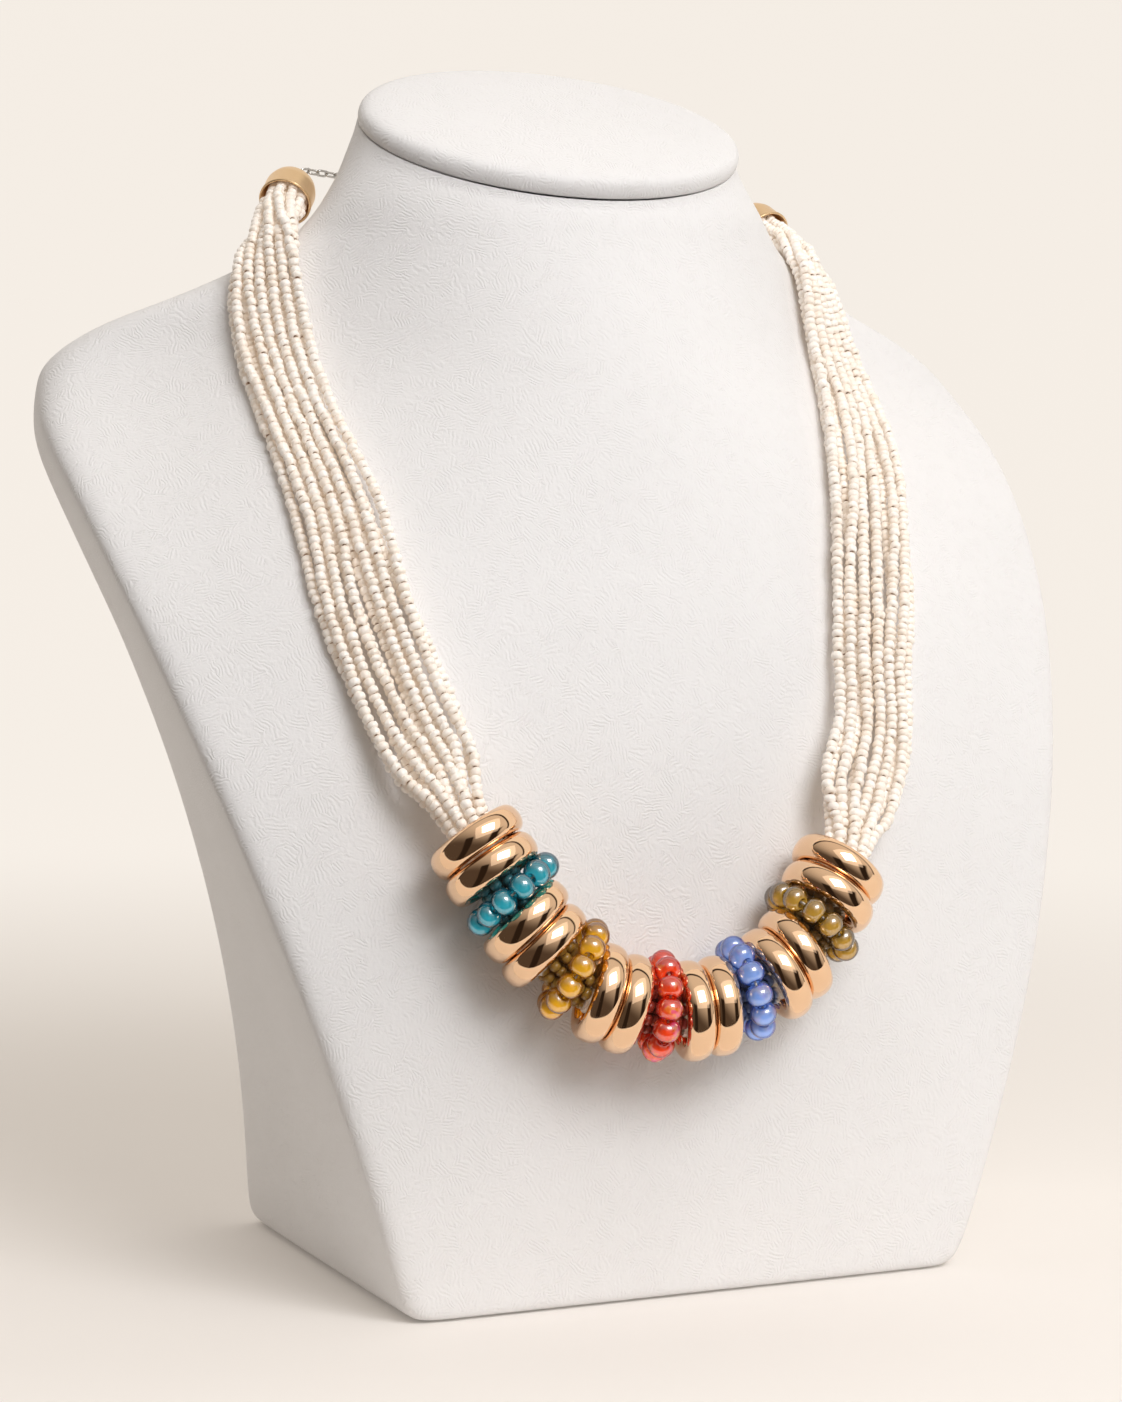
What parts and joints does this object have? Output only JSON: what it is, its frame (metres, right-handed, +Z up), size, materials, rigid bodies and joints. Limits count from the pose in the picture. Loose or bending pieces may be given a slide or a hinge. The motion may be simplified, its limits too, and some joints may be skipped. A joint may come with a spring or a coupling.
{
  "type": "mala necklace on neck bust",
  "caption": "Many-strand seed bead mala necklace with gold and glass ring beads at the front, draped on a plain padded neck bust that displays it.",
  "frame": {"origin": "centre of the bust's flat underside", "axes": "+Z up, -Y out of the chest, +X to the wearer's left"},
  "size_m": [0.2436, 0.1445, 0.2782],
  "materials": {
    "leatherette": "matt embossed leatherette",
    "polished_gold": "mirror polished",
    "ivory_beads": "opaque, softly lustrous",
    "satin_gold": "satin",
    "steel": "polished",
    "glass_teal": "clear glossy glass",
    "glass_amber": "clear glossy glass",
    "glass_red": "clear glossy glass",
    "glass_blue": "clear glossy glass",
    "glass_olive": "clear glossy glass"
  },
  "bodies": {
    "root": {"bust_body": "leatherette", "neck_cap_pad": "leatherette", "gold_ring_01": "polished_gold", "gold_ring_02": "polished_gold", "gold_ring_03": "polished_gold", "gold_ring_04": "polished_gold", "gold_ring_05": "polished_gold", "gold_ring_06": "polished_gold", "gold_ring_07": "polished_gold", "gold_ring_08": "polished_gold", "gold_ring_09": "polished_gold", "gold_ring_10": "polished_gold", "gold_ring_11": "polished_gold", "gold_ring_12": "polished_gold", "bead_ring_teal": "glass_teal", "bead_ring_amber": "glass_amber", "bead_ring_red": "glass_red", "bead_ring_blue": "glass_blue", "bead_ring_olive": "glass_olive", "strand_01": "ivory_beads", "strand_02": "ivory_beads", "strand_03": "ivory_beads", "strand_04": "ivory_beads", "strand_05": "ivory_beads", "strand_06": "ivory_beads", "strand_07": "ivory_beads", "strand_08": "ivory_beads", "strand_09": "ivory_beads", "strand_10": "ivory_beads", "strand_11": "ivory_beads", "strand_12": "ivory_beads", "end_cap_right_side": "satin_gold", "end_cap_left_side": "satin_gold", "chain_right_side": "steel", "chain_left_side": "steel", "clasp": "steel"}
  },
  "joints": []
}
